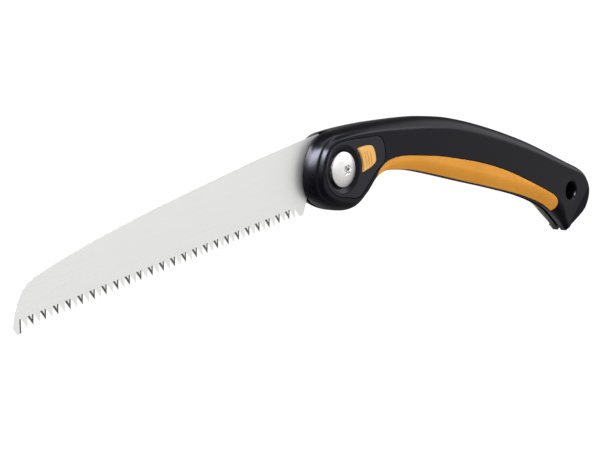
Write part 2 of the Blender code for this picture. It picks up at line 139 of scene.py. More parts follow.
# Hanging hole and shell screws
HOLE_CENTRE = (221.4, -72.8)
HOLE_RADIUS = 5.7
HOLE_MOUTH_RADIUS = 7.9
SCREW_CENTRES = ((47.0, 7.0), (104.0, -7.0), (164.0, -32.5), (209.0, -56.5))
SCREW_HEAD_RADIUS = 3.3
SCREW_SHANK_RADIUS = 1.6
SCREW_SEAT_DEPTH = 9.0
SCREW_HOLE_END = -7.3
SCREW_SHANK_END = -7.0
SCREW_HEAD_UNDER = 9.3
SCREW_HEAD_SIDE = 10.3
SCREW_HEAD_DOME = 0.9
SCREW_SOCKET = ((1.45, 9.9), (1.45, 10.95), (1.9, 11.5), (1.9, 12.5))

# Side view of the handle, clockwise: x, z, then how far its edge rounding reaches in and down
HANDLE_OUTLINE = (
    (-4.5, 21.7, 5.2, 10.5), (5.0, 21.9, 5.0, 10.5), (19.0, 20.9, 5.2, 10.5),
    (39.0, 18.6, 6.0, 10.5), (69.0, 13.9, 7.5, 10.5), (89.0, 9.7, 8.0, 10.5),
    (113.0, 2.8, 8.0, 10.5), (146.0, -10.6, 8.0, 10.5), (185.5, -29.9, 7.5, 10.5),
    (225.3, -53.4, 6.0, 9.5), (239.0, -62.4, 5.0, 8.0), (244.2, -70.4, 4.5, 7.5),
    (245.3, -77.5, 4.2, 7.0), (243.1, -84.0, 4.0, 7.0), (238.0, -89.8, 3.6, 6.0),
    (229.5, -95.5, 3.2, 5.0), (220.0, -100.5, 3.0, 4.5), (214.6, -92.8, 4.5, 7.0),
    (200.8, -78.8, 7.5, 10.5), (179.0, -65.9, 8.0, 10.5), (149.0, -52.4, 8.0, 10.5),
    (118.8, -39.8, 8.0, 10.5), (82.4, -24.5, 8.0, 10.5), (63.0, -17.4, 7.0, 10.5),
    (45.0, -13.5, 6.0, 10.5), (31.8, -15.1, 5.5, 10.5), (22.0, -21.8, 6.0, 10.5),
    (9.6, -27.0, 6.2, 10.5), (-3.1, -24.4, 6.5, 10.5), (-14.1, -19.3, 6.8, 10.5),
    (-21.6, -12.6, 7.0, 10.5), (-24.4, -3.6, 7.0, 10.5), (-21.8, 7.0, 7.0, 10.5),
    (-14.6, 17.0, 6.0, 10.5),
)
TAIL_CORNER = 16
TAIL_SLIM = 0.36
TAIL_SLIM_RADIUS = 22.0

# The hollow outside the raised rim: its depth, its place on the rounding, and the places along
# the outline, counted in the points above, between which it fades out and comes back
RIM_DIP = 1.0
RIM_DIP_TURN = math.radians(60.0)
RIM_DIP_WIDTH = math.radians(20.0)
RIM_FADES_OUT = (0.0, 3.0)
RIM_COMES_BACK = (27.0, 29.5)

# Teardrop cover plate, clockwise
PLATE_OUTLINE = (
    (-14.6, 3.5), (-10.4, 11.0), (-5.3, 14.8), (0.5, 15.9), (12.0, 14.8), (23.5, 13.0),
    (33.8, 11.3), (37.2, 8.2), (38.3, 2.6), (36.8, -4.4), (29.2, -8.0), (21.2, -13.3),
    (13.4, -18.5), (7.6, -19.2), (0.0, -16.6), (-7.4, -14.0), (-12.6, -9.4), (-15.1, -3.0),
)

# Upper edge of the soft grip from the head to the tail
GRIP_EDGE = (
    (23.0, -20.5), (26.6, -14.9), (30.6, -9.5), (37.5, -5.9), (46.0, -5.0), (56.6, -6.3), (68.9, -9.4),
    (88.6, -14.9), (108.2, -21.7), (127.9, -29.1), (152.5, -40.4), (177.1, -54.4),
    (196.8, -66.7), (203.2, -71.4), (205.4, -75.0), (206.2, -79.5), (205.6, -86.0),
)

BLADE_NOSE = ((-240.4, -4.9), (-243.6, -10.6), (-246.5, -18.0), (-244.5, -21.8))
NOSE_TOOTH = (-241.5, -21.8)
BLADE_HEEL = ((-30.2, -19.9), (-28.2, -20.8), (-26.4, -20.0), (-21.6, -11.6))
BLADE_BACK = (
    (-4.3, 20.4), (-4.6, 21.5), (-17.0, 21.5), (-37.0, 20.7), (-59.0, 19.7), (-87.0, 17.9),
    (-112.0, 16.1), (-137.0, 14.4), (-162.0, 12.1), (-187.0, 9.4), (-209.0, 6.5),
    (-228.0, 3.1), (-233.0, 1.5), (-237.2, -1.2),
)


# ---------------------------------------------------------------- shapes

def loft(rings, ring_closed=False):
    """Skins a list of rings of (x, y, z) points. The ends are faces unless the rings form a circle."""
    bm = bmesh.new()
    layers = [[bm.verts.new(point) for point in ring] for ring in rings]
    count = len(layers[0])
    spans = list(zip(layers, layers[1:]))
    if ring_closed:
        spans.append((layers[-1], layers[0]))
    else:
        bm.faces.new(layers[0])
        bm.faces.new(reversed(layers[-1]))
    for low, high in spans:
        for i in range(count):
            j = (i + 1) % count
            bm.faces.new((low[i], low[j], high[j], high[i]))
    return bm


def prism(outline, near, far):
    return loft([[(x, depth, z) for x, z in outline] for depth in (near, far)])


def stepped_prism(outline, steps):
    """A prism whose outline grows by its own amount at each (depth, growth) step."""
    return loft([[(x, depth, z) for x, z in grown(outline, amount)] for depth, amount in steps])


def arc(radius, start, end, steps, centre=(0.0, 0.0)):
    angles = [math.radians(start + (end - start) * k / steps) for k in range(steps + 1)]
    return [(centre[0] + radius * math.cos(a), centre[1] + radius * math.sin(a)) for a in angles]


def circle(radius, sides, centre=(0.0, 0.0)):
    return arc(radius, 0.0, 360.0, sides, centre)[:-1]


def turned(profile, sides, centre=(0.0, 0.0)):
    """A solid of revolution about a line along Y. The profile is a list of (radius, depth)."""
    return loft([[(x, depth, z) for x, z in circle(radius, sides, centre)] for radius, depth in profile])


def along_x(profile, sides, depth):
    rings = [[(x, depth + y, z) for y, z in circle(radius, sides)] for radius, x in profile]
    return loft(rings)


def box(low, high):
    (x0, y0, z0), (x1, y1, z1) = low, high
    return prism([(x0, z0), (x0, z1), (x1, z1), (x1, z0)], y0, y1)


def spline_point(before, here, after, beyond, t):
    bend = (2 * before - 5 * here + 4 * after - beyond) * t * t
    twist = (3 * here - before - 3 * after + beyond) * t * t * t
    return (2 * here + (after - before) * t + bend + twist) / 2


def smooth_loop(points, steps, corner=None):
    """A closed Catmull-Rom curve through the points, with at most one sharp corner."""
    count = len(points)
    vectors = [Vector(point) for point in points]
    loop = []
    for i in range(count):
        here = vectors[i]
        after = vectors[(i + 1) % count]
        before = 2 * here - after if i == corner else vectors[i - 1]
        beyond = 2 * after - here if (i + 1) % count == corner else vectors[(i + 2) % count]
        loop += [spline_point(before, here, after, beyond, k / steps) for k in range(steps)]
    return loop


def smooth_line(points, steps):
    """An open Catmull-Rom curve through the points."""
    vectors = [Vector(point) for point in points]
    vectors = [2 * vectors[0] - vectors[1], *vectors, 2 * vectors[-1] - vectors[-2]]
    line = []
    for i in range(1, len(vectors) - 2):
        line += [spline_point(*vectors[i - 1:i + 3], k / steps) for k in range(steps)]
    line.append(vectors[-2])
    return [(point.x, point.y) for point in line]


def inset(outline, amounts):
    """Moves each point of a clockwise outline inwards by its own amount. A negative one grows it."""
    moved = []
    count = len(outline)
    for i in range(count):
        here = Vector(outline[i][:2])
        before = (here - Vector(outline[i - 1][:2])).normalized()
        after = (Vector(outline[(i + 1) % count][:2]) - here).normalized()
        normal = Vector((before.y, -before.x)) + Vector((after.y, -after.x))
        scale = amounts[i] / (1 + before.dot(after))
        moved.append((here.x + normal.x * scale, here.y + normal.y * scale))
    return moved


def grown(outline, amount):
    return inset(outline, [-amount] * len(outline)) if amount else list(outline)


def round_over(radius, steps=4):
    """(drop, inset) pairs of a quarter-round edge, from its side to its top."""
    turns = [math.radians(90.0 * k / steps) for k in range(steps + 1)]
    return [(radius * (1 - math.sin(t)), radius * (1 - math.cos(t))) for t in turns]


# ---------------------------------------------------------------- objects

def raw_object(name, bm):
    bmesh.ops.scale(bm, vec=(MM, MM, MM), verts=bm.verts)
    bmesh.ops.translate(bm, vec=(0.0, -NUT_FACE_DEPTH * MM, 0.0), verts=bm.verts)
    bmesh.ops.recalc_face_normals(bm, faces=bm.faces)
    mesh = bpy.data.meshes.new(name)
    bm.to_mesh(mesh)
    bm.free()
    made = bpy.data.objects.new(name, mesh)
    bpy.context.scene.collection.objects.link(made)
    return made


def combine(target, operations):
    """Carries out (shape, operation) steps on an object for good. A shape is a bmesh or an object."""
    for number, (shape, operation) in enumerate(operations):
        cutter = shape if isinstance(shape, bpy.types.Object) else raw_object(f"cutter_{number}", shape)
        modifier = target.modifiers.new("step", "BOOLEAN")
        modifier.operation = operation
        modifier.solver = "EXACT"
        modifier.material_mode = "TRANSFER"
        modifier.object = cutter
        graph = bpy.context.evaluated_depsgraph_get()
        result = bpy.data.meshes.new_from_object(target.evaluated_get(graph))
        target.modifiers.clear()
        target.data = result
        bpy.data.objects.remove(cutter)
    return target


def piece(name, shape, surface, body, replaced, operations=(), sharp=32.0):
    """A finished piece that stands for a CAD node, smooth shaded but for edges over the sharp angle."""
    made = raw_object(name, shape)
    made.data.materials.append(surface)
    combine(made, operations)
    made.data.shade_smooth()
    made.data.set_sharp_from_angle(angle=math.radians(sharp))
    weighted = made.modifiers.new("weighted", "WEIGHTED_NORMAL")
    weighted.keep_sharp = True
    weighted.weight = 60
    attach(made, body)
    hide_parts(replaced)
    return made


# ---------------------------------------------------------------- materials

PLAIN_TINT = (1.0, 1.0, 1.0)
COOL_TINT = (0.82, 0.82, 1.0)
NOISE_LOW = 0.3
NOISE_HIGH = 0.7


class Surface:
    """A procedural material built on one Principled shader, with coordinates in metres."""

    def __init__(self, name, roughness, metallic=0.0, specular=0.5, tint=PLAIN_TINT):
        self.material = bpy.data.materials.new(name)
        self.material.use_nodes = True
        self.nodes = self.material.node_tree.nodes
        self.shader = self.nodes["Principled BSDF"]
        self.shader.inputs["Roughness"].default_value = roughness
        self.shader.inputs["Metallic"].default_value = metallic
        self.shader.inputs["Specular IOR Level"].default_value = specular
        self.shader.inputs["Specular Tint"].default_value = (*tint, 1.0)
        self.place = self.nodes.new("ShaderNodeTexCoord").outputs["Object"]
        self.bump = None

    def link(self, source, target):
        self.material.node_tree.links.new(source, target)

    def noise(self, scale, stretch=(1.0, 1.0, 1.0), detail=3.0):
        mapping = self.nodes.new("ShaderNodeMapping")
        mapping.inputs["Scale"].default_value = stretch
        self.link(self.place, mapping.inputs["Vector"])
        noise = self.nodes.new("ShaderNodeTexNoise")
        noise.inputs["Scale"].default_value = scale
        noise.inputs["Detail"].default_value = detail
        self.link(mapping.outputs["Vector"], noise.inputs["Vector"])
        return noise.outputs["Fac"]

    def cells(self, scale):
        cells = self.nodes.new("ShaderNodeTexVoronoi")
        cells.inputs["Scale"].default_value = scale
        self.link(self.place, cells.inputs["Vector"])
        return cells.outputs["Distance"]

    def rings(self, scale):
        """Fine turned lines about the pivot axis."""
        flat = self.nodes.new("ShaderNodeVectorMath")
        flat.operation = "MULTIPLY"
        flat.inputs[1].default_value = (1.0, 0.0, 1.0)
        self.link(self.place, flat.inputs[0])
        length = self.nodes.new("ShaderNodeVectorMath")
        length.operation = "LENGTH"
        self.link(flat.outputs["Vector"], length.inputs[0])
        noise = self.nodes.new("ShaderNodeTexNoise")
        noise.noise_dimensions = "1D"
        noise.inputs["Scale"].default_value = scale
        noise.inputs["Detail"].default_value = 4.0
        self.link(length.outputs["Value"], noise.inputs["W"])
        return noise.outputs["Fac"]

    def colour(self, factor, low, high):
        ramp = self.nodes.new("ShaderNodeValToRGB")
        first, last = ramp.color_ramp.elements
        first.position, last.position = NOISE_LOW, NOISE_HIGH
        first.color, last.color = (*low, 1.0), (*high, 1.0)
        self.link(factor, ramp.inputs["Fac"])
        self.link(ramp.outputs["Color"], self.shader.inputs["Base Color"])

    def vary_roughness(self, factor, low, high):
        spread = self.nodes.new("ShaderNodeMapRange")
        spread.inputs["From Min"].default_value = NOISE_LOW
        spread.inputs["From Max"].default_value = NOISE_HIGH
        spread.inputs["To Min"].default_value = low
        spread.inputs["To Max"].default_value = high
        self.link(factor, spread.inputs["Value"])
        self.link(spread.outputs["Result"], self.shader.inputs["Roughness"])

    def relief(self, height, strength, distance):
        bump = self.nodes.new("ShaderNodeBump")
        bump.inputs["Strength"].default_value = strength
        bump.inputs["Distance"].default_value = distance
        self.link(height, bump.inputs["Height"])
        if self.bump is not None:
            self.link(self.bump.outputs["Normal"], bump.inputs["Normal"])
        self.link(bump.outputs["Normal"], self.shader.inputs["Normal"])
        self.bump = bump


def moulded_black():
    surface = Surface("moulded_black", 0.29, specular=0.145, tint=COOL_TINT)
    surface.colour(surface.noise(22.0), (0.0014, 0.0015, 0.0028), (0.0024, 0.0025, 0.0042))
    surface.vary_roughness(surface.noise(160.0), 0.27, 0.31)
    surface.relief(surface.noise(2600.0, detail=2.0), 0.10, 0.00006)
    surface.relief(surface.noise(35.0), 0.05, 0.0003)
    return surface.material


def textured_charcoal():
    surface = Surface("textured_charcoal", 0.5, specular=0.24, tint=COOL_TINT)
    surface.colour(surface.noise(900.0), (0.0045, 0.0048, 0.0070), (0.0080, 0.0083, 0.0110))
    surface.vary_roughness(surface.noise(300.0), 0.44, 0.56)
    surface.relief(surface.cells(1900.0), 0.35, 0.00010)
    return surface.material


def soft_orange():
    surface = Surface("soft_orange", 0.55, specular=0.2)
    surface.colour(surface.noise(45.0), (0.61, 0.250, 0.021), (0.67, 0.283, 0.028))
    surface.vary_roughness(surface.noise(400.0), 0.48, 0.62)
    surface.relief(surface.cells(1500.0), 0.22, 0.00012)
    return surface.material


def button_orange():
    surface = Surface("button_orange", 0.36, specular=0.5)
    surface.colour(surface.noise(120.0), (0.70, 0.372, 0.076), (0.78, 0.425, 0.098))
    surface.vary_roughness(surface.noise(500.0), 0.32, 0.42)
    surface.relief(surface.noise(2200.0), 0.12, 0.00006)
    return surface.material


def brushed_blade():
    surface = Surface("brushed_blade", 0.36, metallic=1.0)
    brushing = surface.noise(1.0, (45.0, 45.0, 4200.0), 4.0)
    surface.colour(brushing, (0.690, 0.688, 0.680), (0.720, 0.718, 0.710))
    surface.vary_roughness(surface.noise(1.0, (60.0, 60.0, 5200.0), 4.0), 0.35, 0.40)
    surface.relief(surface.noise(1.0, (120.0, 120.0, 6500.0), 3.0), 0.06, 0.00002)
    return surface.material


def ground_steel():
    surface = Surface("ground_steel", 0.42, metallic=1.0)
    surface.colour(surface.noise(1.0, (4000.0, 400.0, 400.0)), (0.085, 0.085, 0.083), (0.135, 0.135, 0.130))
    surface.relief(surface.noise(1.0, (6000.0, 500.0, 500.0)), 0.15, 0.00003)
    return surface.material


def turned_steel():
    surface = Surface("turned_steel", 0.24, metallic=1.0)
    surface.colour(surface.rings(2600.0), (0.66, 0.655, 0.645), (0.74, 0.735, 0.725))
    surface.vary_roughness(surface.noise(220.0), 0.30, 0.37)
    surface.relief(surface.rings(4200.0), 0.10, 0.00003)
    return surface.material


def zinc_steel():
    surface = Surface("zinc_steel", 0.32, metallic=1.0)
    surface.colour(surface.noise(500.0), (0.50, 0.50, 0.49), (0.62, 0.62, 0.61))
    surface.vary_roughness(surface.noise(700.0), 0.26, 0.40)
    surface.relief(surface.noise(1800.0), 0.12, 0.00005)
    return surface.material


# ---------------------------------------------------------------- handle

def handle_half(side, shrink=0.0):
    """Half of the handle's outer shape, rounded at its outer edge and shrunk evenly if asked."""
    outline = smooth_loop(HANDLE_OUTLINE, OUTLINE_STEPS, TAIL_CORNER)
    edge = inset(outline, [shrink] * len(outline))
    rings = [[(x, side * SPLIT_DEPTH, z) for x, z in edge]]
    for step in range(ROUNDING_STEPS + 1):
        turn = math.radians(90.0 * step / ROUNDING_STEPS)
        hollow = rim_hollow(turn)
        reach = [point[2] * (1 - math.cos(turn)) ** CROWN + shrink for point in outline]
        depth = []
        for i, point in enumerate(outline):
            full = (FACE_DEPTH - point[3] * (1 - math.sin(turn))) * slimming(point)
            depth.append(full - shrink - hollow * rim_share(i))
        rings.append([(x, side * d, z) for (x, z), d in zip(inset(outline, reach), depth)])
    return loft(rings)


def rim_hollow(turn):
    """How deep the hollow outside the raised rim is, at a turn of the rounding from edge to face."""
    off = abs(turn - RIM_DIP_TURN) / RIM_DIP_WIDTH
    return RIM_DIP * math.cos(off * math.pi / 2) ** 2 if off < 1 else 0.0


def smooth(low, high, value):
    """Rises from 0 at low to 1 at high, level at both ends."""
    t = min(max((value - low) / (high - low), 0.0), 1.0)
    return t * t * (3 - 2 * t)


def rim_share(i):
    """How much of the rim's hollow there is along the outline: all of it round the head's front."""
    place = i / OUTLINE_STEPS
    return 1 - smooth(*RIM_FADES_OUT, place) if place < TAIL_CORNER else smooth(*RIM_COMES_BACK, place)


def slimming(point):
    """The handle's thickness about the tail's lower corner, as a share of the full one."""
    away = math.dist(point[:2], HANDLE_OUTLINE[TAIL_CORNER][:2])
    return 1 - TAIL_SLIM * (1 - smooth(0.0, TAIL_SLIM_RADIUS, away))


def grip_area():
    """Side view of the part of the handle that the grip covers, clockwise, running off below it."""
    return [*smooth_line(GRIP_EDGE, 6), (199.0, -110.0), (23.0, -110.0)]


def grip_cutter(side, grow, edge):
    """The grip's own volume, or with grow the recess that it lies in, with a softened upper edge."""
    steps = [(side * (GRIP_LIP - grow), grow)]
    steps += [(side * (FACE_DEPTH - drop), grow + out) for drop, out in edge]
    steps.append((side * (FACE_DEPTH + 2 * OVERCUT), grow + edge[-1][1]))
    made = raw_object("grip_space", stepped_prism(grip_area(), steps))
    return combine(made, [(handle_half(side, GRIP_THICKNESS + grow), "DIFFERENCE")])


def slot_area():
    """Side view of the space that the blade swings through, running off above and below the head."""
    track = arc(PIN_TRACK_RADIUS + 2 * GAP, 82.0, 22.0, 16)
    return [(2.5, 30.0), *track, *SLOT_REAR, (-60.0, -130.0), (-60.0, 30.0)]


def plate_outline():
    return [(point.x, point.y) for point in smooth_loop(PLATE_OUTLINE, 8)]


def hanging_hole(side):
    """The bore through the tail, with a rounded mouth."""
    profile = [(HOLE_RADIUS, 0.0)]
    for drop, out in round_over(HOLE_MOUTH_RADIUS - HOLE_RADIUS, 8):
        profile.append((HOLE_RADIUS + out, side * (FACE_DEPTH - drop)))
    profile.append((HOLE_MOUTH_RADIUS + 2 * GAP, side * (FACE_DEPTH + OVERCUT)))
    return turned(profile, 56, HOLE_CENTRE)


def stem_window():
    """Side view of the opening that the button's stem slides in."""
    high = STEM_HALF_HEIGHT + GAP
    low_x, high_x = STEM_FRONT - LOCK_TRAVEL - GAP, STEM_REAR + GAP
    return [(low_x, -high), (low_x, high), (high_x, high), (high_x, -high)]


def bore(radius, depth, sides, centre=(0.0, 0.0)):
    """A straight hole from the parting face outwards."""
    return turned(((radius + GAP, 0.0), (radius + GAP, depth)), sides, centre)


def pivot_bores(side):
    return [bore(SLEEVE_RADIUS, side * FACE_DEPTH, 48), bore(WASHER_RADIUS, side * WASHER_SEAT_DEPTH, 48),
            bore(STOP_PIN_RADIUS, side * (STOP_PIN_DEPTH + GAP), 24, STOP_PIN_CENTRE)]


def screw_holes(side):
    """Blind holes in the left shell, and clearance holes with sunk seats in the right one."""
    clear = SCREW_SHANK_RADIUS + GAP
    head = SCREW_HEAD_RADIUS + GAP
    profile = ((clear, 0.0), (clear, SCREW_HOLE_END))
    if side == RIGHT:
        profile = ((clear, 0.0), (clear, SCREW_SEAT_DEPTH), (head, SCREW_SEAT_DEPTH),
                   (head, FACE_DEPTH - 0.4), (head + 0.4, FACE_DEPTH), (head + 0.4, FACE_DEPTH + OVERCUT))
    return [turned(profile, 40, centre) for centre in SCREW_CENTRES]


def lock_space():
    """Room in the left shell for the slider, the spring, its guide and the button's stem."""
    high = SLIDER_HALF_HEIGHT + GAP
    rear = SLIDER_REAR + GAP
    spring_end = (SPRING_REAR + GAP, 0.0, SPRING_SPACE)
    return [box((SLIDER_FRONT - LOCK_TRAVEL - GAP, -SLIDER_FAR - GAP, -high), (rear, 0.0, high)),
            box((rear - OVERCUT, -SPRING_DEPTH - SPRING_SPACE, -SPRING_SPACE), spring_end),
            along_x([(GUIDE_SPACE, SPRING_REAR), (GUIDE_SPACE, GUIDE_REAR)], 12, -SPRING_DEPTH),
            prism(stem_window(), -SLIDER_FAR, -FACE_DEPTH - OVERCUT)]


def build_shell(name, side, surface):
    lip = [(0.3, 0.0), (0.08, 0.08), (0.0, 0.3)]
    recess = [(side * (PLATE_DEPTH - GAP), PLATE_CLEARANCE)]
    recess += [(side * (FACE_DEPTH - drop), PLATE_CLEARANCE + out) for drop, out in lip]
    recess.append((side * (FACE_DEPTH + OVERCUT), PLATE_CLEARANCE + lip[-1][1]))
    shapes = [grip_cutter(side, GAP, lip), prism(slot_area(), 0.0, side * SLOT_DEPTH),
              stepped_prism(plate_outline(), recess), *pivot_bores(side), *screw_holes(side),
              hanging_hole(side)]
    if side == LEFT:
        cap_seat = ((CAP_RECESS_RADIUS, -CAP_SEAT_DEPTH), (CAP_RECESS_RADIUS, -FACE_DEPTH - OVERCUT))
        shapes += [turned(cap_seat, 64), *lock_space()]
    else:
        room = LOCK_PIN_RADIUS + GAP
        shapes.append(box((LOCK_PIN_X - LOCK_TRAVEL - room, 0.0, -room),
                          (LOCK_PIN_X + room, LOCK_PIN_POCKET, room)))
    piece(name + "_moulding", handle_half(side), surface, "handle", name,
          [(shape, "DIFFERENCE") for shape in shapes])


def build_grip(name, side, surface):
    edge = [(drop, -out) for drop, out in round_over(0.6)]
    cutter = grip_cutter(side, 0.0, edge)
    piece(name + "_overmould", handle_half(side), surface, "handle", name,
          [(cutter, "INTERSECT")])


def plate_blank(side):
    steps = [(side * PLATE_DEPTH, 0.0)]
    steps += [(side * (FACE_DEPTH - drop), -out) for drop, out in round_over(0.4)]
    return stepped_prism(plate_outline(), steps)


def build_plates(surface, dish_painted_shade):
    """The cover plates. The dish round the cap gets the darker moulded black in place of the plate's
    charcoal, as painted shade.
    """
    flare = (DISH_RADIUS - CAP_RECESS_RADIUS) / DISH_DEPTH
    profile = [(CAP_RECESS_RADIUS, -PLATE_DEPTH + OVERCUT), (CAP_RECESS_RADIUS, -FACE_DEPTH + DISH_DEPTH),
               (DISH_RADIUS - 0.3, -FACE_DEPTH + 0.14), (DISH_RADIUS + 0.1, -FACE_DEPTH + 0.02),
               (DISH_RADIUS + 0.5, -FACE_DEPTH), (DISH_RADIUS + 0.5 + flare, -FACE_DEPTH - OVERCUT)]
    dish = raw_object("dish", turned(profile, 72))
    # Painted shade: the dish's faces take the darker moulded black, not the plate's charcoal, so the hollow
    # round the cap reads as shadowed.
    dish.data.materials.append(dish_painted_shade)
    window = prism(stem_window(), -PLATE_DEPTH + OVERCUT, -FACE_DEPTH - OVERCUT)
    piece("left_cover_plate_moulding", plate_blank(LEFT), surface, "handle", "left_cover_plate",
          [(dish, "DIFFERENCE"), (window, "DIFFERENCE")])
    seat = stepped_prism(flange_outline(GAP), [(PLATE_DEPTH - OVERCUT, 0.0), (FACE_DEPTH - GAP, 0.0),
                                               (FACE_DEPTH, GAP), (FACE_DEPTH + OVERCUT, GAP)])
    piece("right_cover_plate_moulding", plate_blank(RIGHT), surface, "handle", "right_cover_plate",
          [(seat, "DIFFERENCE")])


# ---------------------------------------------------------------- pivot and screws

def flange_outline(extra=0.0):
    """A round flange with a flat above and below, clockwise."""
    radius = FLANGE_RADIUS + extra
    flat = math.degrees(math.asin((FLANGE_FLAT + extra) / radius))
    return [*arc(radius, flat, -flat, 20), *arc(radius, 180.0 + flat, 180.0 - flat, 20)]


def lobed(radius, depth, sides=72):
    """A six-lobed ring for the cap's socket."""
    ring = []
    for k in range(sides):
        turn = math.tau * k / sides
        reach = radius + 0.17 * radius * math.cos(6 * turn)
        ring.append((reach * math.cos(turn), depth, reach * math.sin(turn)))
    return ring


def build_cap(steel):
    """The pivot screw with its domed head, turned rim and six-lobe socket."""
    under_head = CAP_SEAT_DEPTH + WAVE_HEIGHT + 2 * GAP
    dome_radius = (CAP_RADIUS ** 2 + CAP_DOME ** 2) / (2 * CAP_DOME)
    widest = math.asin(CAP_RADIUS / dome_radius)
    profile = [(SHANK_RADIUS, CAP_SHANK_END), (SHANK_RADIUS, -under_head), (CAP_UNDER_RADIUS, -under_head),
               (CAP_RADIUS - CAP_EDGE, -FACE_DEPTH + CAP_EDGE)]
    for step in range(CAP_DOME_STEPS):
        angle = widest * (1 - step / CAP_DOME_STEPS)
        rise = dome_radius * (math.cos(angle) - math.cos(widest))
        profile.append((dome_radius * math.sin(angle), -FACE_DEPTH - rise))
    top = -FACE_DEPTH - CAP_DOME
    socket = loft([lobed(SOCKET_RADIUS, top + SOCKET_DEPTH), lobed(SOCKET_RADIUS, top + 0.55),
                   lobed(SOCKET_RADIUS + 0.55, top), lobed(SOCKET_RADIUS + 0.9, top - OVERCUT)])
    piece("pivot_cap_screw", turned(profile, 96), steel, "handle", "pivot_screw",
          [(socket, "DIFFERENCE")], sharp=24.0)


def build_nut(steel):
    """The sleeve nut: a flange with two flats, a chamfered face and a fine groove round its middle."""
    steps = [(PLATE_DEPTH, 0.0), (NUT_FACE_DEPTH - NUT_EDGE, 0.0), (NUT_FACE_DEPTH, -NUT_EDGE)]
    inner, outer = NUT_GROOVE_RADII
    floor, open_end = NUT_FACE_DEPTH - NUT_GROOVE_DEPTH, NUT_FACE_DEPTH + 0.5
    corners = ((inner, open_end), (inner, floor), (outer, floor), (outer, open_end))
    groove = loft([[(x, depth, z) for x, z in circle(radius, 64)] for radius, depth in corners],
                  ring_closed=True)
    sleeve = turned(((SLEEVE_RADIUS, PLATE_DEPTH + 1.0), (SLEEVE_RADIUS, NUT_SLEEVE_END)), 48)
    thread = turned(((SHANK_RADIUS + GAP, 8.0), (SHANK_RADIUS + GAP, -9.0)), 32)
    piece("pivot_sleeve_nut", stepped_prism(flange_outline(), steps), steel, "handle", "pivot_nut",
          [(sleeve, "UNION"), (thread, "DIFFERENCE"), (groove, "DIFFERENCE")])


def build_shell_screws(steel):
    """Four screws with domed heads and hexagon sockets."""
    for number, centre in enumerate(SCREW_CENTRES, 1):
        profile = [(SCREW_SHANK_RADIUS, SCREW_SHANK_END), (SCREW_SHANK_RADIUS, SCREW_HEAD_UNDER),
                   (SCREW_HEAD_RADIUS, SCREW_HEAD_UNDER), (SCREW_HEAD_RADIUS, SCREW_HEAD_SIDE)]
        for step in range(1, 7):
            turn = math.radians(90.0 * step / 7)
            profile.append((SCREW_HEAD_RADIUS * math.cos(turn) ** 0.6,
                            SCREW_HEAD_SIDE + SCREW_HEAD_DOME * math.sin(turn)))
        socket = turned(SCREW_SOCKET, 6, centre)
        piece(f"shell_screw_{number}_pan_head", turned(profile, 40, centre), steel, "handle",
              f"shell_screw_{number}", [(socket, "DIFFERENCE")])


# ---------------------------------------------------------------- lock button

def button_outline():
    """The thumb pad, clockwise. Its front edge is concentric with the pivot."""
    front = arc(BUTTON_ARC_RADIUS, 36.0, -20.0, 18)
    return [BUTTON_TOP_CORNER, *reversed(smooth_line(BUTTON_REAR, 6)), *reversed(front)]


def build_button(surface):
    """The thumb pad with its ribs and its stem. It leaves no reflection in the cap beside it."""
    steps = [(-FACE_DEPTH - GAP, 0.0)]
    steps += [(-FACE_DEPTH - BUTTON_PROUD + drop, -out) for drop, out in round_over(0.7, 6)]
    stem = box((STEM_FRONT, -FACE_DEPTH - BUTTON_PROUD / 2, -STEM_HALF_HEIGHT),
               (STEM_REAR, -SLIDER_FAR - GAP, STEM_HALF_HEIGHT))
    operations = [(stem, "UNION"), *((rib(*place), "UNION") for place in BUTTON_RIBS)]
    pad = piece("lock_button_pad", stepped_prism(button_outline(), steps), surface, "lock", "lock_button",
                operations)
    pad.visible_glossy = False


def rib(radius, start, end):
    """A low rounded rib on the pad along an arc about the pivot."""
    rings = []
    top = -FACE_DEPTH - BUTTON_PROUD
    for k in range(RIB_STEPS + 1):
        turn = math.radians(start + (end - start) * k / RIB_STEPS)
        swell = math.sin(math.pi * (0.08 + 0.84 * k / RIB_STEPS)) ** 0.35
        ring = []
        for across, rise in RIB_PROFILE:
            reach = radius + across * swell
            depth = top - rise * swell if rise > 0 else top - rise
            ring.append((reach * math.cos(turn), depth, reach * math.sin(turn)))
        rings.append(ring)
    return loft(rings)


# ---------------------------------------------------------------- blade

def flank_inset(gullet, tip, after):
    """Where the two ground bevels of a tooth end on its flat side: front top, tip and rear top."""
    front = (tip - gullet).normalized()
    rear = (after - tip).normalized()
    front_in = Vector((-front.y, front.x))
    rear_in = Vector((-rear.y, rear.x))
    matrix = Matrix((front_in, rear_in))
    target = Vector((front_in.dot(gullet) + FRONT_BEVEL, rear_in.dot(after) + REAR_BEVEL))
    inner_tip = matrix.inverted() @ target
    rise = Vector((0.0, BEVEL_RISE))
    front_top = gullet + front_in * FRONT_BEVEL - front * (front_in * FRONT_BEVEL).y / front.y + rise
    rear_top = after + rear_in * REAR_BEVEL - rear * (rear_in * REAR_BEVEL).y / rear.y + rise
    return front_top, inner_tip, rear_top


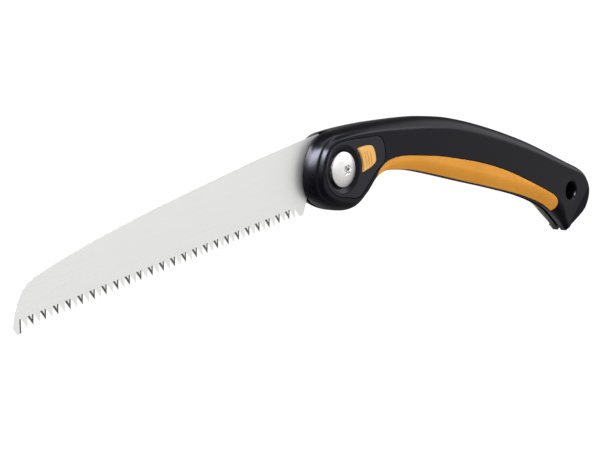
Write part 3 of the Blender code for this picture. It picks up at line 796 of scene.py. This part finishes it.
class BladeMesh:
    """The blade as two flat sides joined by walls, with bevels ground on alternate sides of the teeth."""

    def __init__(self):
        self.bm = bmesh.new()
        self.bevels = []
        self.sides = {LEFT: [], RIGHT: []}

    def vert(self, point, depth):
        return self.bm.verts.new((point[0], depth, point[1]))

    def plain(self, point):
        column = {side: self.vert(point, side * BLADE_HALF_THICKNESS) for side in (LEFT, RIGHT)}
        for side in (LEFT, RIGHT):
            self.sides[side].append(column[side])
        return column

    def gullet(self, point):
        column = self.plain(point)
        for side in (LEFT, RIGHT):
            column[side * 2] = self.vert(point, side * (BLADE_HALF_THICKNESS - BEVEL_DEPTH))
        return column

    def levels(self, column, ground):
        """A column's points from left to right, without the ground side's outer one. Side times 2
        is the point below a bevel."""
        order = [level for level in (-1, -2, 2, 1) if level in column and level != ground]
        return [column[level] for level in order]

    def wall(self, first, second, ground=None):
        a, b = self.levels(first, ground), self.levels(second, ground)
        self.bm.faces.new([*a, *reversed(b)])

    def tooth(self, before, gullet, tip, after_point, ground):
        """One tooth from the column before it, ground on the side given. Returns the next gullet."""
        column = {ground * 2: self.vert(tip, ground * (BLADE_HALF_THICKNESS - BEVEL_DEPTH)),
                  -ground: self.vert(tip, -ground * BLADE_HALF_THICKNESS)}
        points = flank_inset(Vector(gullet), Vector(tip), Vector(after_point))
        inner = [self.vert(point, ground * BLADE_HALF_THICKNESS) for point in points]
        self.sides[ground] += inner
        self.sides[-ground].append(column[-ground])
        after = self.gullet(after_point)
        self.wall(before, column, ground)
        self.wall(column, after, ground)
        level = ground * 2
        self.bevels += [self.bm.faces.new((before[level], column[level], inner[1], inner[0])),
                        self.bm.faces.new((column[level], after[level], inner[2], inner[1])),
                        self.bm.faces.new((before[ground], before[level], inner[0])),
                        self.bm.faces.new((after[level], after[ground], inner[2]))]
        return after

    def nose_tooth(self, before, first_gullet):
        """The end of the nose, ground on its rear flank only."""
        tip = Vector(NOSE_TOOTH)
        level = 2 * LEFT
        column = {level: self.vert(tip, BEVEL_DEPTH - BLADE_HALF_THICKNESS),
                  RIGHT: self.vert(tip, BLADE_HALF_THICKNESS)}
        low = self.vert((tip.x - REAR_BEVEL, tip.y), -BLADE_HALF_THICKNESS)
        high = self.vert((first_gullet[0] - REAR_BEVEL, first_gullet[1] + BEVEL_RISE), -BLADE_HALF_THICKNESS)
        self.sides[LEFT] += [low, high]
        self.sides[RIGHT].append(column[RIGHT])
        self.bm.faces.new((before[LEFT], before[RIGHT], column[RIGHT], column[level], low))
        after = self.gullet(first_gullet)
        self.wall(column, after, LEFT)
        self.bevels += [self.bm.faces.new((column[level], after[level], high, low)),
                        self.bm.faces.new((after[level], after[LEFT], high))]
        return after

    def close(self):
        """Closes the two flat sides."""
        for side in (LEFT, RIGHT):
            self.bm.faces.new(self.sides[side])


def notch_outline(angle):
    """The notch in the tang that the lock pin drops into, turned about the pivot."""
    seat = LOCK_PIN_X - LOCK_TRAVEL
    slot = [*arc(LOCK_PIN_RADIUS + GAP, 90.0, 270.0, 16, (seat, 0.0)),
            (LOCK_PIN_X, -LOCK_PIN_RADIUS - GAP), (LOCK_PIN_X, LOCK_PIN_RADIUS + GAP)]
    cos, sin = math.cos(math.radians(angle)), math.sin(math.radians(angle))
    return [(x * cos - z * sin, x * sin + z * cos) for x, z in slot]


def blade_shape():
    """The whole blade from the nose along the teeth, round the heel and the tang, and back."""
    blade = BladeMesh()
    columns = [blade.plain(point) for point in BLADE_NOSE]
    for first, second in zip(columns, columns[1:]):
        blade.wall(first, second)
    start = LAST_GULLET - TOOTH_PITCH * TOOTH_COUNT
    current = blade.nose_tooth(columns[-1], (start, GULLET_LINE))
    for k in range(TOOTH_COUNT):
        gullet = (start + TOOTH_PITCH * k, GULLET_LINE)
        tip = (gullet[0] + TOOTH_RAKE, TIP_LINE)
        after = (gullet[0] + TOOTH_PITCH, GULLET_LINE)
        current = blade.tooth(current, gullet, tip, after, -1 if k % 2 else 1)
    tang = [*arc(PIN_TRACK_RADIUS, 212.0, 189.0, 8), *arc(TANG_RADIUS, 189.0, 458.0, 80)]
    for point in (*BLADE_HEEL, *tang, *BLADE_BACK):
        following = blade.plain(point)
        blade.wall(current, following)
        current = following
    blade.wall(current, columns[0])
    blade.close()
    for face in blade.bevels:
        face.material_index = 1
    return blade.bm


def build_blade(steel, ground):
    through = (-BLADE_HALF_THICKNESS - OVERCUT, BLADE_HALF_THICKNESS + OVERCUT)
    cuts = [prism(circle(SLEEVE_RADIUS + GAP, 48), *through), prism(notch_outline(0.0), *through),
            prism(notch_outline(-FOLD_ANGLE), *through)]
    made = raw_object("ground_blade", blade_shape())
    made.data.materials.append(steel)
    made.data.materials.append(ground)
    combine(made, [(shape, "DIFFERENCE") for shape in cuts])
    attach(made, "blade")
    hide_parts("blade")


# ---------------------------------------------------------------- scene

CAMERA_PLACE = (-0.8499, -0.7878, 0.2723)
CAMERA_RIGHT = (0.65701, -0.74330, -0.12585)
CAMERA_FORWARD = (0.70254, 0.66423, -0.25541)
CAMERA_LENS = 122.09
FLOOR_HEIGHT = -0.35
STAGE_RADIUS = 12.0

# Soft light from the surroundings: direction, the cosines between which it rises, and its strength
WORLD_LOBES = (
    ((0.0, 0.0, 1.0), -3.0, -2.0, 0.09),
    ((0.45, -0.80, 0.10), 0.10, 1.0, 0.88),
    ((-0.10, 0.98, 0.10), 0.40, 1.0, 1.30),
    ((0.10, -0.30, -0.95), 0.05, 1.0, 0.10),
    ((0.97, -0.12, 0.25), 0.88, 1.0, 0.8),
    ((-0.14, 0.72, -0.68), 0.75, 0.98, 0.90),
)

# Area lights: name, direction, distance, size and power
STRIP_LIGHT = ("overhead_strip", (0.50, -0.36, 0.78), 1.5, (0.52, 2.8), 24.0)
KEY_LIGHT = ("key_softbox", (-0.57, -0.25, 0.80), 1.3, (1.40, 0.60), 170.0)
FILL_LIGHT = ("low_fill", (-0.15, -0.55, -0.82), 1.3, (1.2, 1.2), 10.0)


def build_camera():
    camera = bpy.data.objects.new("camera", bpy.data.cameras.new("camera"))
    bpy.context.scene.collection.objects.link(camera)
    right = Vector(CAMERA_RIGHT).normalized()
    forward = Vector(CAMERA_FORWARD).normalized()
    up = right.cross(forward)
    matrix = Matrix((right, up, -forward)).transposed().to_4x4()
    matrix.translation = Vector(CAMERA_PLACE)
    camera.matrix_world = matrix
    camera.data.lens = CAMERA_LENS
    camera.data.sensor_width = 36.0
    camera.data.clip_end = 60.0
    bpy.context.scene.camera = camera


def area_light(name, direction, distance, size, power):
    data = bpy.data.lights.new(name, "AREA")
    data.shape = "RECTANGLE"
    data.size, data.size_y = size
    data.energy = power
    lamp = bpy.data.objects.new(name, data)
    bpy.context.scene.collection.objects.link(lamp)
    away = Vector(direction).normalized()
    lamp.location = away * distance
    lamp.rotation_mode = "QUATERNION"
    lamp.rotation_quaternion = away.to_track_quat("Z", "Y")
    return lamp


def glow(name, colour):
    """A surface that gives off even white light, whatever falls on it."""
    made = bpy.data.materials.new(name)
    made.use_nodes = True
    shader = made.node_tree.nodes["Principled BSDF"]
    shader.inputs["Base Color"].default_value = (*colour, 1.0)
    shader.inputs["Roughness"].default_value = 0.9
    shader.inputs["Emission Color"].default_value = (1.0, 1.0, 1.0, 1.0)
    shader.inputs["Emission Strength"].default_value = 1.0
    return made


def stage_mesh(name, bm, surface):
    """A part of the studio that the camera sees, but that no piece reflects or is shaded by."""
    mesh = bpy.data.meshes.new(name)
    bm.to_mesh(mesh)
    bm.free()
    mesh.materials.append(surface)
    made = bpy.data.objects.new(name, mesh)
    bpy.context.scene.collection.objects.link(made)
    made.visible_glossy = False
    made.visible_diffuse = False
    made.visible_shadow = False
    return made


def build_stage():
    bm = bmesh.new()
    bmesh.ops.create_circle(bm, cap_ends=True, segments=96, radius=STAGE_RADIUS,
                            matrix=Matrix.Translation((0.0, 0.0, FLOOR_HEIGHT)))
    stage_mesh("floor", bm, glow("pale_floor", (0.04, 0.04, 0.04)))
    bm = bmesh.new()
    bmesh.ops.create_uvsphere(bm, u_segments=64, v_segments=32, radius=STAGE_RADIUS - 0.1)
    stage_mesh("backdrop", bm, glow("pale_backdrop", (0.0, 0.0, 0.0)))


def build_world():
    """Soft studio surroundings, as the sum of the broad lights in WORLD_LOBES."""
    world = bpy.data.worlds.new("studio")
    bpy.context.scene.world = world
    world.use_nodes = True
    nodes, links = world.node_tree.nodes, world.node_tree.links
    place = nodes.new("ShaderNodeTexCoord").outputs["Generated"]

    def lobe(direction, start, end, strength):
        dot = nodes.new("ShaderNodeVectorMath")
        dot.operation = "DOT_PRODUCT"
        dot.inputs[1].default_value = Vector(direction).normalized()
        links.new(place, dot.inputs[0])
        spread = nodes.new("ShaderNodeMapRange")
        spread.interpolation_type = "SMOOTHSTEP"
        for name, value in (("From Min", start), ("From Max", end), ("To Min", 0.0), ("To Max", strength)):
            spread.inputs[name].default_value = value
        links.new(dot.outputs["Value"], spread.inputs["Value"])
        return spread.outputs["Result"]

    total = None
    for setting in WORLD_LOBES:
        value = lobe(*setting)
        if total is None:
            total = value
        else:
            both = nodes.new("ShaderNodeMath")
            links.new(total, both.inputs[0])
            links.new(value, both.inputs[1])
            total = both.outputs["Value"]
    nodes["Background"].inputs["Color"].default_value = (1.0, 1.0, 1.0, 1.0)
    links.new(total, nodes["Background"].inputs["Strength"])


def main():
    for name in ("Cube", "Light", "Camera"):
        if name in bpy.data.objects:
            bpy.data.objects.remove(bpy.data.objects[name])
    black, charcoal, orange = moulded_black(), textured_charcoal(), soft_orange()
    steel, zinc = turned_steel(), zinc_steel()
    for word, side in (("left", LEFT), ("right", RIGHT)):
        build_shell(word + "_shell", side, black)
        build_grip(word + "_grip", side, orange)
    build_plates(charcoal, black)
    build_cap(steel)
    build_nut(steel)
    build_shell_screws(zinc)
    build_button(button_orange())
    build_blade(brushed_blade(), ground_steel())
    for node in ("washer_left", "washer_right", "wave_washer", "stop_pin", "lock_slider", "lock_pin",
                 "lock_spring", "spring_guide"):
        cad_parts[node].data.materials.clear()
        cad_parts[node].data.materials.append(zinc)
    build_camera()
    build_stage()
    build_world()
    area_light(*STRIP_LIGHT)
    area_light(*KEY_LIGHT).visible_diffuse = False
    area_light(*FILL_LIGHT).visible_glossy = False
    bpy.context.scene.view_settings.view_transform = "Standard"


main()
